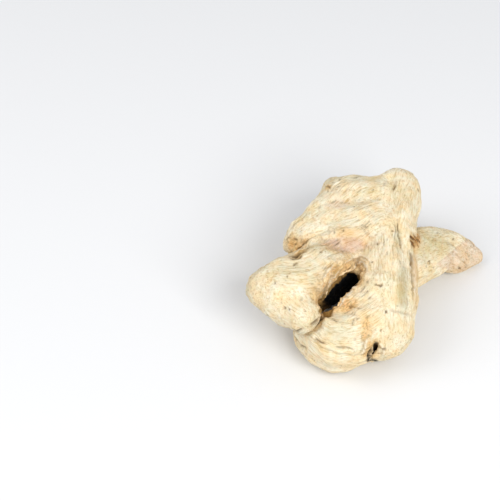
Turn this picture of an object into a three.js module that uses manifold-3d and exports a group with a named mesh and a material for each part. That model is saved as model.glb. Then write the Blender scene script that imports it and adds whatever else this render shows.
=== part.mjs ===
// A dried ginger rhizome, grown as one piece, lying on its side.
// Millimetres, +Z up. The origin is on the surface it lies on, under the middle of its outline.
//
// The body is a field: below zero inside, above zero outside, and about a distance near the skin.
// Each lobe is a chain of round cones along a smooth path, and the lobes run softly into each other.

import * as THREE from 'three';
import Module from 'manifold-3d';
import { mergeVertices } from 'three/addons/utils/BufferGeometryUtils.js';

const wasm = await Module();
wasm.setup();

// Each lobe is a path of points, x, y, z and the radius there.
const LOBES = {
  rightLimb: [[13, 35.5, 28, 9.5], [9.5, 20.5, 26.5, 10], [6.5, 2.5, 23, 11], [5.5, -17, 19, 11],
    [6, -30, 13.5, 10]],
  backLobe: [[-29, 8.5, 25, 5], [-20, 14.5, 26, 9], [-8.5, 27.5, 25.5, 11.5], [1, 31, 25.5, 11.5],
    [10, 31, 26, 10]],
  cornerBud: [[-12, 40.5, 27, 4], [-5.5, 35.5, 26, 7]],
  middle: [[-17, 9, 23, 10.5], [-6.5, 12.5, 23, 13.5], [3.5, 14.5, 23.5, 13], [6, 5, 21, 12]],
  leftFinger: [[-41, -17.5, 24, 7.5], [-35, -16.5, 24, 11], [-27.5, -15.5, 24, 13], [-17, -3, 23, 11]],
  leftLobe: [[-32.5, -22.5, 23.5, 8.5], [-26.5, -31, 24, 6.8]],
  frontBulb: [[5.5, -16, 17, 12], [-3, -25.5, 14, 13.5], [-12.5, -33, 13, 12.5], [-18.5, -30, 11.5, 10.5],
    [-22, -25, 11, 7.5]],
  rightFinger: [[12, 5, 17, 11], [22, 13.5, 14.5, 10.5], [30.5, 20.5, 10.5, 8], [38, 22, 6.5, 7.3],
    [45.8, 24, 4.2, 3.2]],
  backFoot: [[-8, 32, 20, 13], [-11, 29.5, 11.5, 10.5], [-12, 30, 8.5, 9]],
  belly: [[-22, -6.5, 9.3, 7.3], [-16, 0, 9.5, 8.3], [-8, 5, 10, 9], [1, 11, 12.5, 9.5]],
};
const STATIONS = 6; // points to a span of a smoothed path
const BLEND = 1.6; // how far lobes run into each other
const REFERENCE = new THREE.Vector3(0.5, -0.3, 0.8); // a direction that no lobe follows, to count angles from

// Folds along each lobe: waves round its girth that wander along it and fade at its ends.
const FOLD_DEPTH = 0.05; // of the radius
const FOLDS = [
  { waves: 5, share: 0.6, wander: 1.6, reach: 9 },
  { waves: 8, share: 0.4, wander: 2.2, reach: 7 },
];
const FOLD_FADE = 6;

// Grooves in the skin: a path near it, the way in, the half width and the depth.
const FROM_TOP = new THREE.Vector3(0, 0, 1);
const FROM_FRONT = new THREE.Vector3(0, -0.8, 0.6);
const GROOVES = [
  { path: [[-1.6, -38.6, 8], [-0.6, -38.4, 11], [0.4, -37.6, 14]], lean: FROM_FRONT, width: 1.7, depth: 6 },
  { path: [[0.5, -37.5, 14.5], [2.6, -34, 20], [4.5, -29, 26], [5, -20, 28]], lean: FROM_FRONT,
    width: 2.2, depth: 1.3 },
  { path: [[10, 33, 37.5], [10.5, 26, 37.5], [10.5, 13, 36], [11.5, 1.5, 33.5], [12.5, -9, 30.5]],
    lean: FROM_TOP, width: 2.2, depth: 1.3 },
  { path: [[-15, -2, 34], [-9, -1, 32], [-2, 0, 31]], lean: FROM_TOP, width: 4.5, depth: 1 },
  { path: [[-31, -7, 31], [-27, -3.5, 34], [-22, 1, 35]], lean: FROM_TOP, width: 1.8, depth: 2.6 },
];
const LEAN_SHARE = 0.4; // lengths along the way in count for this much

// Creases where two lobes meet without growing together.
const CREASES = [
  { between: ['leftLobe', 'frontBulb'], width: 2.2, depth: 2.6 },
  { between: ['leftFinger', 'frontBulb'], width: 2.2, depth: 1.8 },
  { between: ['rightFinger', 'rightLimb'], width: 1.6, depth: 1.6 },
  { between: ['backLobe', 'leftFinger'], width: 2, depth: 2 },
];
const CREASE_REACH = 5;

// The long hole between the left finger and the limb: a slanting slot that opens downwards.
const HOLE = [[-18.3, -24.8, 21], [-7.6, -11.2, 23]];
const HOLE_RADIUS = 3.5;
const HOLE_BULGE = 0.7;
const HOLE_FLARE = 0.1;
const HOLE_DEPTH = 20;
const HOLE_WAY = new THREE.Vector3(0, 0.26, -0.966).normalize();
const HOLE_RIM = 0.8;

// The flat where the right finger's end was once cut.
const CUT = new THREE.Plane(new THREE.Vector3(0.69, -0.37, 0.62).normalize(), -27.2);
const CUT_EDGE = 0.6;

// Slow swells over the whole skin: size, three waves along x, y, z and their start, two to a product.
const SWELLS = [
  { size: 0.45, first: [0.23, 0.11, 0.17, 1], second: [-0.08, 0.27, 0, 0.4] },
  { size: 0.3, first: [0.31, -0.12, 0.35, 2], second: [0, 0.4, 0.2, 0] },
];

// The net that turns the field into triangles.
const LOW = [-52, -49, -2];
const HIGH = [53, 49, 42];
const STEP = 2.1;
const JUST_INSIDE = -0.2;

// The smooth curve through a lobe's points, as stations with the directions sideways and up from it and
// the length so far.
function smoothPath(points) {
  const ends = [mirrored(points[0], points[1]), ...points, mirrored(points.at(-1), points.at(-2))];
  const stations = [];
  for (let span = 1; span < ends.length - 2; span += 1) {
    for (let part = 0; part < STATIONS; part += 1) {
      stations.push(onCurve(ends.slice(span - 1, span + 3), part / STATIONS));
    }
  }
  stations.push(points.at(-1));
  const path = stations.map(([x, y, z, radius]) => ({ at: new THREE.Vector3(x, y, z), radius }));
  let length = 0;
  path.forEach((station, i) => {
    const before = path[Math.max(i - 1, 0)];
    const after = path[Math.min(i + 1, path.length - 1)];
    const way = after.at.clone().sub(before.at).normalize();
    station.side = way.clone().cross(REFERENCE).normalize();
    station.up = station.side.clone().cross(way);
    length += station.at.distanceTo(before.at);
    station.length = length;
  });
  return path;
}

function mirrored(end, next) {
  return end.map((value, i) => 2 * value - next[i]);
}

// A Catmull-Rom curve: from b to c, with a before and d after.
function onCurve([a, b, c, d], t) {
  return b.map((value, i) => 0.5 * (2 * value + (c[i] - a[i]) * t
    + (2 * a[i] - 5 * value + 4 * c[i] - d[i]) * t * t
    + (3 * value - a[i] - 3 * c[i] + d[i]) * t * t * t));
}

// The cones between a path's stations, with what a distance to them needs.
function conesOf(points) {
  const path = smoothPath(points);
  return path.slice(1).map((end, i) => {
    const start = path[i];
    const line = end.at.clone().sub(start.at);
    const length = line.length();
    const taper = (start.radius - end.radius) / length;
    const slant = taper / Math.sqrt(1 - Math.min(taper * taper, 0.9));
    return { start, end, line: line.divideScalar(length), length, taper, slant };
  });
}

// The distance to a lobe. It is the least distance to its cones, less the folds. Where cones compete,
// the place along the lobe and the way out from its axis are means, so that no seam shows.
function toLobe(point, cones, seed) {
  let least = Infinity;
  let weights = 0;
  let along = 0;
  let radius = 0;
  let sideways = 0;
  let upwards = 0;
  for (const { start, end, line, length, taper, slant } of cones) {
    offset.copy(point).sub(start.at);
    const ahead = offset.dot(line);
    const away = Math.sqrt(Math.max(offset.lengthSq() - ahead * ahead, 0));
    const stand = THREE.MathUtils.clamp(ahead - away * slant, 0, length);
    const distance = Math.hypot(ahead - stand, away) - (start.radius - taper * stand);
    const weight = Math.exp(-Math.min(distance, 80));
    least = Math.min(least, distance);
    const part = stand / length;
    offset.addScaledVector(line, -stand);
    weights += weight;
    along += weight * (start.length + stand);
    radius += weight * (start.radius - taper * stand);
    sideways += weight * THREE.MathUtils.lerp(offset.dot(start.side), offset.dot(end.side), part);
    upwards += weight * THREE.MathUtils.lerp(offset.dot(start.up), offset.dot(end.up), part);
  }
  along /= weights;
  const whole = cones.at(-1).end.length;
  const fade = THREE.MathUtils.clamp(Math.min(along, whole - along) / FOLD_FADE, 0, 1);
  const angle = Math.atan2(sideways, upwards);
  let fold = 0;
  FOLDS.forEach(({ waves, share, wander, reach }, i) => {
    const turn = seed * (i + 1);
    fold += share * Math.sin(waves * angle + wander * Math.sin(along / reach + turn) + turn);
  });
  return least - FOLD_DEPTH * (radius / weights) * fold * fade;
}

const offset = new THREE.Vector3();

// The distance to a polyline, with lengths along the way in counted for less.
function toGroove(point, { path, lean }) {
  let least = Infinity;
  const give = 1 - LEAN_SHARE * LEAN_SHARE;
  for (let i = 1; i < path.length; i += 1) {
    segment.start.fromArray(path[i - 1]);
    segment.end.fromArray(path[i]);
    segment.closestPointToPoint(point, true, offset).sub(point);
    const deep = offset.dot(lean);
    least = Math.min(least, Math.sqrt(Math.max(offset.lengthSq() - give * deep * deep, 0)));
  }
  return least;
}

const segment = new THREE.Line3();

// The distance to the slanting hole.
const holeLine = new THREE.Line3(new THREE.Vector3(...HOLE[0]), new THREE.Vector3(...HOLE[1]));
const holeMiddle = holeLine.getCenter(new THREE.Vector3());
const holeFlat = new THREE.Plane().setFromNormalAndCoplanarPoint(HOLE_WAY, holeMiddle);
holeFlat.projectPoint(holeLine.start.clone(), holeLine.start);
holeFlat.projectPoint(holeLine.end.clone(), holeLine.end);

function toHole(point) {
  const deep = holeFlat.distanceToPoint(point);
  holeFlat.projectPoint(point, flat);
  const t = holeLine.closestPointToPointParameter(flat, true);
  const flare = HOLE_FLARE * THREE.MathUtils.clamp(deep - 1, 0, HOLE_DEPTH);
  return holeLine.at(t, offset).distanceTo(flat) - (HOLE_RADIUS + HOLE_BULGE * Math.sin(Math.PI * t) + flare);
}

const flat = new THREE.Vector3();

// The greater of two fields, with a rounded edge.
function softGreater(a, b, edge) {
  const top = Math.max(a, b);
  return top + edge * Math.log(Math.exp((a - top) / edge) + Math.exp((b - top) / edge));
}

const lobes = Object.entries(LOBES).map(([name, points], i) => (
  { name, cones: conesOf(points), seed: i + 1 }
));

function swell(point, { size, first, second }) {
  const wave = ([x, y, z, begin]) => Math.sin(point.x * x + point.y * y + point.z * z + begin);
  return size * wave(first) * wave(second);
}

// The whole rhizome's field at a point.
function rhizome(point) {
  const near = {};
  for (const { name, cones, seed } of lobes) {
    near[name] = toLobe(point, cones, seed);
  }
  near.rightFinger = softGreater(near.rightFinger, CUT.distanceToPoint(point), CUT_EDGE);
  const share = Object.values(near).reduce((sum, distance) => sum + Math.exp(-distance / BLEND), 0);
  let field = -BLEND * Math.log(share + 1e-30);
  for (const wave of SWELLS) {
    field += swell(point, wave);
  }
  for (const { between: [a, b], width, depth } of CREASES) {
    const apart = (near[a] - near[b]) / width;
    const off = (near[a] + near[b]) / CREASE_REACH;
    field += depth * Math.exp(-apart * apart - off * off);
  }
  for (const groove of GROOVES) {
    const off = toGroove(point, groove) / groove.width;
    field += groove.depth * Math.exp(-off * off);
  }
  return softGreater(field, -toHole(point), HOLE_RIM);
}

// A closed net over the zero of a field. Each cell of the grid that the skin passes through holds one
// corner, at the mean of the points where the skin crosses the cell's edges, and each crossed edge of
// the grid is the middle of one four-sided face.
function netOver(field) {
  const count = LOW.map((low, i) => Math.ceil((HIGH[i] - low) / STEP) + 1);
  const stride = [1, count[0], count[0] * count[1]];
  const values = new Float32Array(count[0] * count[1] * count[2]);
  const at = new THREE.Vector3();
  eachCell(count, (i, j, k, cell) => {
    at.set(LOW[0] + i * STEP, LOW[1] + j * STEP, LOW[2] + k * STEP);
    values[cell] = field(at);
  });
  closePinches(values, count, stride);
  const corners = [];
  const cornerOf = new Map();
  const inner = count.map((n) => n - 1);
  eachCell(count, (i, j, k, cell) => {
    if (i >= inner[0] || j >= inner[1] || k >= inner[2]) return;
    const mean = crossingMean(values, cell, stride);
    if (!mean) return;
    cornerOf.set(cell, corners.length / 3);
    corners.push(LOW[0] + (i + mean.x) * STEP, LOW[1] + (j + mean.y) * STEP, LOW[2] + (k + mean.z) * STEP);
  });
  const faces = [];
  eachCell(count, (i, j, k, cell) => {
    [i, j, k].forEach((place, axis) => {
      if (place >= inner[axis]) return;
      const inside = values[cell] < 0;
      if (inside === values[cell + stride[axis]] < 0) return;
      const next = stride[(axis + 1) % 3];
      const last = stride[(axis + 2) % 3];
      const ring = [cell, cell - next, cell - next - last, cell - last].map((c) => cornerOf.get(c));
      if (!inside) ring.reverse();
      faces.push(ring[0], ring[1], ring[2], ring[0], ring[2], ring[3]);
    });
  });
  const geometry = new THREE.BufferGeometry();
  geometry.setAttribute('position', new THREE.Float32BufferAttribute(corners, 3));
  geometry.setIndex(faces);
  return geometry;
}

function eachCell([nx, ny, nz], visit) {
  for (let k = 0; k < nz; k += 1) {
    for (let j = 0; j < ny; j += 1) {
      for (let i = 0; i < nx; i += 1) {
        visit(i, j, k, i + nx * (j + ny * k));
      }
    }
  }
}

// Where inside and outside alternate round a square of the grid, two sheets of the net would share an
// edge. The nearer outside corner then counts as just inside, until no such square is left.
function closePinches(values, count, stride) {
  let found = true;
  while (found) {
    found = false;
    eachCell(count, (i, j, k, cell) => {
      const place = [i, j, k];
      for (let axis = 0; axis < 3; axis += 1) {
        const u = (axis + 1) % 3;
        const v = (axis + 2) % 3;
        if (place[u] >= count[u] - 1 || place[v] >= count[v] - 1) continue;
        const square = [cell, cell + stride[u], cell + stride[u] + stride[v], cell + stride[v]];
        const [a, b, c, d] = square.map((corner) => values[corner] < 0);
        if (a !== c || b !== d || a === b) continue;
        const outside = a ? [square[1], square[3]] : [square[0], square[2]];
        outside.sort((one, other) => values[one] - values[other]);
        values[outside[0]] = JUST_INSIDE;
        found = true;
      }
    });
  }
}

// The mean of a cell's crossings, in cell lengths from its low corner, or nothing where there are none.
function crossingMean(values, cell, stride) {
  const mean = new THREE.Vector3();
  let crossings = 0;
  for (let axis = 0; axis < 3; axis += 1) {
    for (const u of [0, 1]) {
      for (const v of [0, 1]) {
        const from = cell + u * stride[(axis + 1) % 3] + v * stride[(axis + 2) % 3];
        const a = values[from];
        const b = values[from + stride[axis]];
        if (a < 0 === b < 0) continue;
        const place = [0, 0, 0];
        place[axis] = a / (a - b);
        place[(axis + 1) % 3] = u;
        place[(axis + 2) % 3] = v;
        mean.add(new THREE.Vector3(...place));
        crossings += 1;
      }
    }
  }
  return crossings ? mean.divideScalar(crossings) : null;
}

// Everything below the surface it lies on is cut away, which leaves small flat spots to rest on.
function toSolid(geometry) {
  const bare = geometry.clone();
  bare.deleteAttribute('normal');
  bare.deleteAttribute('uv');
  const merged = mergeVertices(bare);
  return new wasm.Manifold(new wasm.Mesh({
    numProp: 3,
    vertProperties: new Float32Array(merged.attributes.position.array),
    triVerts: new Uint32Array(merged.index.array),
  }));
}

// Only the largest shell is kept, so that a pocket closed inside is filled.
function toGeometry(solid) {
  const shells = solid.decompose().sort((a, b) => b.volume() - a.volume());
  const { vertProperties, triVerts } = shells[0].getMesh();
  const geometry = new THREE.BufferGeometry();
  geometry.setAttribute('position', new THREE.BufferAttribute(new Float32Array(vertProperties), 3));
  geometry.setIndex(new THREE.BufferAttribute(new Uint32Array(triVerts), 1));
  geometry.computeVertexNormals();
  return geometry;
}

const GROUND_BLOCK = [140, 140, 20];
const ground = new THREE.BoxGeometry(...GROUND_BLOCK);
ground.translate(0, 0, -GROUND_BLOCK[2] / 2);

const skin = new THREE.MeshStandardMaterial({ color: '#ecd6ae', roughness: 0.92, metalness: 0 });
const ginger = new THREE.Mesh(toGeometry(toSolid(netOver(rhizome)).subtract(toSolid(ground))), skin);
ginger.name = 'ginger_root';

const object = new THREE.Group();
object.add(ginger);

export default object;
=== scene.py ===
# A dried ginger rhizome lying on a pale table. Blender's scene is in metres.

import math

import bmesh
import bpy
import numpy as np
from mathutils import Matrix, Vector


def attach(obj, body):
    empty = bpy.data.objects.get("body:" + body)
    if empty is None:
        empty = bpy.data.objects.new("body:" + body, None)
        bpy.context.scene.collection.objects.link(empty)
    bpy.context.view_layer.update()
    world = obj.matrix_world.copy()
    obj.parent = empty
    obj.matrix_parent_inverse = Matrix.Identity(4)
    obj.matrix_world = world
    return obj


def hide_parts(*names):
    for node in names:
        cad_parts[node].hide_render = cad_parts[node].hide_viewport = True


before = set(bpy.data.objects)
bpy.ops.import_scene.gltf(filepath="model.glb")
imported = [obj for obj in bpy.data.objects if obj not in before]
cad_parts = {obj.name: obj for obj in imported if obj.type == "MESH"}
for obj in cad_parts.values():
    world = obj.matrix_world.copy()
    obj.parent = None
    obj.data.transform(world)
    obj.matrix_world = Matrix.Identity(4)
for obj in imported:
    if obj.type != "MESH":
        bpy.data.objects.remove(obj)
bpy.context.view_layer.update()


# The camera
# It looks down on the table at the photograph's angle from about arm's length, through a long lens.
# The root lies right of the middle of the picture, as it does there.
ELEVATION = math.radians(42)
DISTANCE = 0.7
AIM = Vector((-0.047, 0.032, 0))
PICTURE_PIXELS = 500
FOCAL_PIXELS = 1680
SENSOR_MM = 36
NEAREST_SEEN = 0.05

camera = bpy.data.objects.new("camera", bpy.data.cameras.new("camera"))
camera.data.sensor_width = SENSOR_MM
camera.data.lens = SENSOR_MM * FOCAL_PIXELS / PICTURE_PIXELS
camera.data.clip_start = NEAREST_SEEN
camera.location = AIM + DISTANCE * Vector((0, -math.cos(ELEVATION), math.sin(ELEVATION)))
camera.rotation_euler = (math.pi / 2 - ELEVATION, 0, 0)
bpy.context.scene.collection.objects.link(camera)
bpy.context.scene.camera = camera


# The form of the rhizome
# A ginger rhizome branches flat, in blunt fingers that swell and run into each other. This one is dry
# and shrunken, with a long hole between two fingers and a cut end on the third.
# Its sizes are in millimetres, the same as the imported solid's. A lobe is a path of x, y, z and radius.
MM = 0.001
LOBES = {
    "right_limb": [(13, 35.5, 28, 9.5), (9.5, 20.5, 26.5, 10), (6.5, 2.5, 23, 11), (5.5, -17, 19, 11),
                   (6, -30, 13.5, 10)],
    "back_lobe": [(-29, 8.5, 25, 5), (-20, 14.5, 26, 9), (-8.5, 27.5, 25.5, 11.5), (1, 31, 25.5, 11.5),
                  (10, 31, 26, 10)],
    "corner_bud": [(-12, 40.5, 27, 4), (-5.5, 35.5, 26, 7)],
    "middle": [(-17, 9, 23, 10.5), (-6.5, 12.5, 23, 13.5), (3.5, 14.5, 23.5, 13), (6, 5, 21, 12)],
    "left_finger": [(-41, -17.5, 24, 7.5), (-35, -16.5, 24, 11), (-27.5, -15.5, 24, 13), (-17, -3, 23, 11)],
    "left_lobe": [(-32.5, -22.5, 23.5, 8.5), (-26.5, -31, 24, 6.8)],
    "front_bulb": [(5.5, -16, 17, 12), (-3, -25.5, 14, 13.5), (-12.5, -33, 13, 12.5),
                   (-18.5, -30, 11.5, 10.5), (-22, -25, 11, 7.5)],
    "right_finger": [(12, 5, 17, 11), (22, 13.5, 14.5, 10.5), (30.5, 20.5, 10.5, 8), (38, 22, 6.5, 7.3),
                     (45.8, 24, 4.2, 3.2)],
    "back_foot": [(-8, 32, 20, 13), (-11, 29.5, 11.5, 10.5), (-12, 30, 8.5, 9)],
    "belly": [(-22, -6.5, 9.3, 7.3), (-16, 0, 9.5, 8.3), (-8, 5, 10, 9), (1, 11, 12.5, 9.5)],
}
STATIONS = 6
BLEND = 1.6
REFERENCE = np.array([0.5, -0.3, 0.8])
STEEPEST = 0.9
FAR = 1000.0
REACH = 12.0
WEIGHED = 80
TINY = 1e-30

FOLD_DEPTH = 0.05
FOLD_FADE = 6
FOLDS = [
    {"waves": 5, "share": 0.6, "wander": 1.6, "reach": 9},
    {"waves": 8, "share": 0.4, "wander": 2.2, "reach": 7},
]

FROM_TOP = np.array([0, 0, 1.0])
FROM_FRONT = np.array([0, -0.8, 0.6])
LEAN_SHARE = 0.4
GROOVES = [
    {"path": [(-3.4, -38.3, 5.2), (-1.6, -38.6, 8.6), (-0.7, -38.2, 11), (0.6, -37.6, 14.3)],
     "lean": FROM_FRONT, "width": 0.95, "depth": 6},
    {"path": [(0.5, -37.5, 14.5), (2.6, -34, 20), (4.5, -29, 26), (5, -20, 28)],
     "lean": FROM_FRONT, "width": 2.2, "depth": 1.3},
    {"path": [(10, 33, 37.5), (10.5, 26, 37.5), (10.5, 13, 36), (11.5, 1.5, 33.5), (12.5, -9, 30.5)],
     "lean": FROM_TOP, "width": 2.2, "depth": 1.3},
    {"path": [(-15, -2, 34), (-9, -1, 32), (-2, 0, 31)], "lean": FROM_TOP, "width": 4.5, "depth": 1},
    {"path": [(-31, -7, 31), (-27, -3.5, 34), (-22, 1, 35)], "lean": FROM_TOP, "width": 1.6, "depth": 2.6},
]

CREASES = [
    {"between": ("left_lobe", "front_bulb"), "width": 1.4, "depth": 2.8},
    {"between": ("left_finger", "front_bulb"), "width": 1.6, "depth": 1.8},
    {"between": ("right_finger", "right_limb"), "width": 1.2, "depth": 1.8},
    {"between": ("back_lobe", "left_finger"), "width": 1.4, "depth": 2.2},
]
CREASE_REACH = 5

HOLE = np.array([(-18.3, -24.8, 21), (-7.6, -11.2, 23)])
HOLE_WAY = np.array([0, 0.26, -0.966])
HOLE_RADIUS = 3.5
HOLE_BULGE = 0.7
HOLE_FLARE = 0.1
FLARE_FROM = 1
HOLE_DEPTH = 20
HOLE_RIM = 0.5

CUT_WAY = np.array([0.69, -0.37, 0.62]) / np.linalg.norm([0.69, -0.37, 0.62])
CUT_AT = 27.2
CUT_EDGE = 0.4

SWELLS = [
    {"size": 0.45, "first": (0.23, 0.11, 0.17, 1), "second": (-0.08, 0.27, 0, 0.4)},
    {"size": 0.3, "first": (0.31, -0.12, 0.35, 2), "second": (0, 0.4, 0.2, 0)},
]


def smooth_path(points):
    """Stations on the smooth curve through points: a cubic of each span's four nearest points."""
    points = np.array(points, float)
    ends = np.vstack([2 * points[0] - points[1], points, 2 * points[-1] - points[-2]])
    t = np.arange(STATIONS)[:, None] / STATIONS
    spans = []
    for a, b, c, d in zip(ends, ends[1:], ends[2:], ends[3:]):
        bend = (2 * a - 5 * b + 4 * c - d) * t**2 + (3 * b - a - 3 * c + d) * t**3
        spans.append(0.5 * (2 * b + (c - a) * t + bend))
    return np.vstack([*spans, points[-1:]])


def station_frames(stations):
    """Unit vectors sideways and upwards at each station, square to the path and to a reference."""
    ways = np.gradient(stations[:, :3], axis=0)
    ways /= np.linalg.norm(ways, axis=1, keepdims=True)
    sides = np.cross(ways, REFERENCE)
    sides /= np.linalg.norm(sides, axis=1, keepdims=True)
    return sides, np.cross(sides, ways)


def read_lobe(places, stations):
    """The least distance to a lobe's round cones, and where a place stands on it: the length along it,
    the radius there and how far out it is, sideways and upwards. These four are means over the cones,
    each weighed by the exponential of minus its distance."""
    sides, ups = station_frames(stations)
    least = np.full(len(places), FAR, np.float32)
    sums = np.zeros((5, len(places)), np.float32)
    so_far = 0.0
    for i in range(len(stations) - 1):
        start, end = stations[i], stations[i + 1]
        line = end[:3] - start[:3]
        length = np.linalg.norm(line)
        line = line / length
        taper = (start[3] - end[3]) / length
        slant = taper / math.sqrt(1 - min(taper * taper, STEEPEST))
        offset = places - start[:3].astype(np.float32)
        ahead = offset @ line.astype(np.float32)
        away = np.sqrt(np.maximum((offset * offset).sum(1) - ahead * ahead, 0))
        stand = np.clip(ahead - away * slant, 0, length)
        radius = start[3] - taper * stand
        distance = np.hypot(ahead - stand, away) - radius
        weight = np.exp(-np.minimum(distance, WEIGHED))
        share = stand / length
        offset -= stand[:, None] * line.astype(np.float32)
        sideways = (offset @ sides[i]) * (1 - share) + (offset @ sides[i + 1]) * share
        upwards = (offset @ ups[i]) * (1 - share) + (offset @ ups[i + 1]) * share
        least = np.minimum(least, distance)
        sums += weight * np.stack([np.ones_like(stand), so_far + stand, radius, sideways, upwards])
        so_far += length
    return least, sums[1:] / sums[0], so_far


def lobe_distance(places, stations, seed):
    """The distance to a lobe, less its folds: sines of the angle round it that wander along it."""
    low = (stations[:, :3] - stations[:, 3:]).min(0) - REACH
    high = (stations[:, :3] + stations[:, 3:]).max(0) + REACH
    inside = ((places > low) & (places < high)).all(1)
    result = np.full(len(places), FAR, np.float32)
    least, (along, radius, sideways, upwards), whole = read_lobe(places[inside], stations)
    fade = np.clip(np.minimum(along, whole - along) / FOLD_FADE, 0, 1)
    angle = np.arctan2(sideways, upwards)
    fold = 0
    for i, wave in enumerate(FOLDS):
        turn = seed * (i + 1)
        wander = wave["wander"] * np.sin(along / wave["reach"] + turn)
        fold = fold + wave["share"] * np.sin(wave["waves"] * angle + wander + turn)
    result[inside] = least - FOLD_DEPTH * radius * fold * fade
    return result


def path_distance(places, path, lean, share=LEAN_SHARE):
    """The distance to a line through points, with lengths along the lean counted for a share."""
    least = np.full(len(places), FAR, np.float32)
    for start, end in zip(np.array(path, float), np.array(path[1:], float)):
        line = end - start
        t = np.clip((places - start) @ line / (line @ line), 0, 1)
        offset = places - start - t[:, None] * line
        deep = offset @ lean
        squared = (offset * offset).sum(1) - (1 - share * share) * deep * deep
        least = np.minimum(least, np.sqrt(np.maximum(squared, 0)))
    return least


def hole_distance(places):
    """The distance to a slanting slot: to its middle line seen along it, less a radius that bulges at
    half its length and grows with depth."""
    middle = HOLE.mean(0)
    deep = (places - middle) @ HOLE_WAY
    flat = places - deep[:, None] * HOLE_WAY
    start, end = HOLE - ((HOLE - middle) @ HOLE_WAY)[:, None] * HOLE_WAY
    line = end - start
    t = np.clip((flat - start) @ line / (line @ line), 0, 1)
    radius = HOLE_RADIUS + HOLE_BULGE * np.sin(np.pi * t)
    radius += HOLE_FLARE * np.clip(deep - FLARE_FROM, 0, HOLE_DEPTH)
    return np.linalg.norm(flat - start - t[:, None] * line, axis=1) - radius


def soft_greater(a, b, edge):
    """The greater of two fields with a rounded edge: the log of the sum of their exponentials."""
    return edge * np.logaddexp(a / edge, b / edge)


PATHS = {name: smooth_path(points) for name, points in LOBES.items()}


def rhizome(places):
    """The field: below zero inside. The lobes' distances are joined by minus the log of the sum of their
    falling exponentials; swells, creases and grooves are added, and the hole is taken away."""
    near = {}
    for seed, (name, stations) in enumerate(PATHS.items(), 1):
        near[name] = lobe_distance(places, stations, seed)
    near["right_finger"] = soft_greater(near["right_finger"], places @ CUT_WAY - CUT_AT, CUT_EDGE)
    joined = sum(np.exp(-distance / BLEND) for distance in near.values())
    field = -BLEND * np.log(joined + TINY)
    x, y, z = places.T
    for swell in SWELLS:
        first, second = (np.sin(x * a + y * b + z * c + begin)
                         for a, b, c, begin in (swell["first"], swell["second"]))
        field += swell["size"] * first * second
    for crease in CREASES:
        one, other = (near[name] for name in crease["between"])
        apart = (one - other) / crease["width"]
        off = (one + other) / CREASE_REACH
        field += crease["depth"] * np.exp(-apart**2 - off**2)
    for groove in GROOVES:
        off = path_distance(places, groove["path"], groove["lean"]) / groove["width"]
        field += groove["depth"] * np.exp(-off**2)
    return soft_greater(field, -hole_distance(places), HOLE_RIM)


# The net over the form
# The field is read on a coarse grid, and again finely near the skin. Each fine cell that the skin passes
# through holds one corner, at the mean of its crossings, and each crossed grid edge is one four-sided face.
LOW = np.array([-50.0, -47.5, -1.5])
HIGH = np.array([51.0, 47.5, 41.0])
COARSE = 1.02
FINE = 2
NEAR_SKIN = 2.0
JUST_INSIDE = -0.05


def read_field(count, step):
    """The field on a grid: everywhere from the coarse cells, and again at fine places near the skin."""
    coarse_count = np.ceil((HIGH - LOW) / COARSE).astype(int)
    middles = grid_places(np.indices(coarse_count).reshape(3, -1).T, COARSE) + COARSE / 2
    coarse = rhizome(middles).reshape(coarse_count)
    fine = coarse.repeat(FINE, 0).repeat(FINE, 1).repeat(FINE, 2)
    fine = np.ascontiguousarray(fine[: count[0], : count[1], : count[2]])
    close = np.argwhere(np.abs(fine) < NEAR_SKIN)
    fine[tuple(close.T)] = rhizome(grid_places(close, step))
    return fine


def grid_places(cells, step):
    """Millimetre places of grid cells."""
    return (LOW + cells * step).astype(np.float32)


def close_pinches(field):
    """Where inside and outside alternate round a square of the grid, the nearer outside corner becomes
    just inside, so that no two sheets of the net share an edge."""
    found = True
    while found:
        found = False
        for u, v in ((0, 1), (1, 2), (2, 0)):
            corners = [square_corner(field, u, v, a, b) for a, b in ((0, 0), (1, 0), (1, 1), (0, 1))]
            signs = [corner < 0 for corner in corners]
            pinched = (signs[0] == signs[2]) & (signs[1] == signs[3]) & (signs[0] != signs[1])
            if not pinched.any():
                continue
            found = True
            for one, other in ((0, 2), (1, 3)):
                outside = pinched & ~signs[one]
                nearer = corners[one] <= corners[other]
                corners[one][outside & nearer] = JUST_INSIDE
                corners[other][outside & ~nearer] = JUST_INSIDE


def square_corner(field, u, v, a, b):
    """A view of the grid moved by a along axis u and by b along axis v."""
    window = [slice(None)] * 3
    window[u] = slice(a, field.shape[u] - 1 + a)
    window[v] = slice(b, field.shape[v] - 1 + b)
    return field[tuple(window)]


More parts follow.
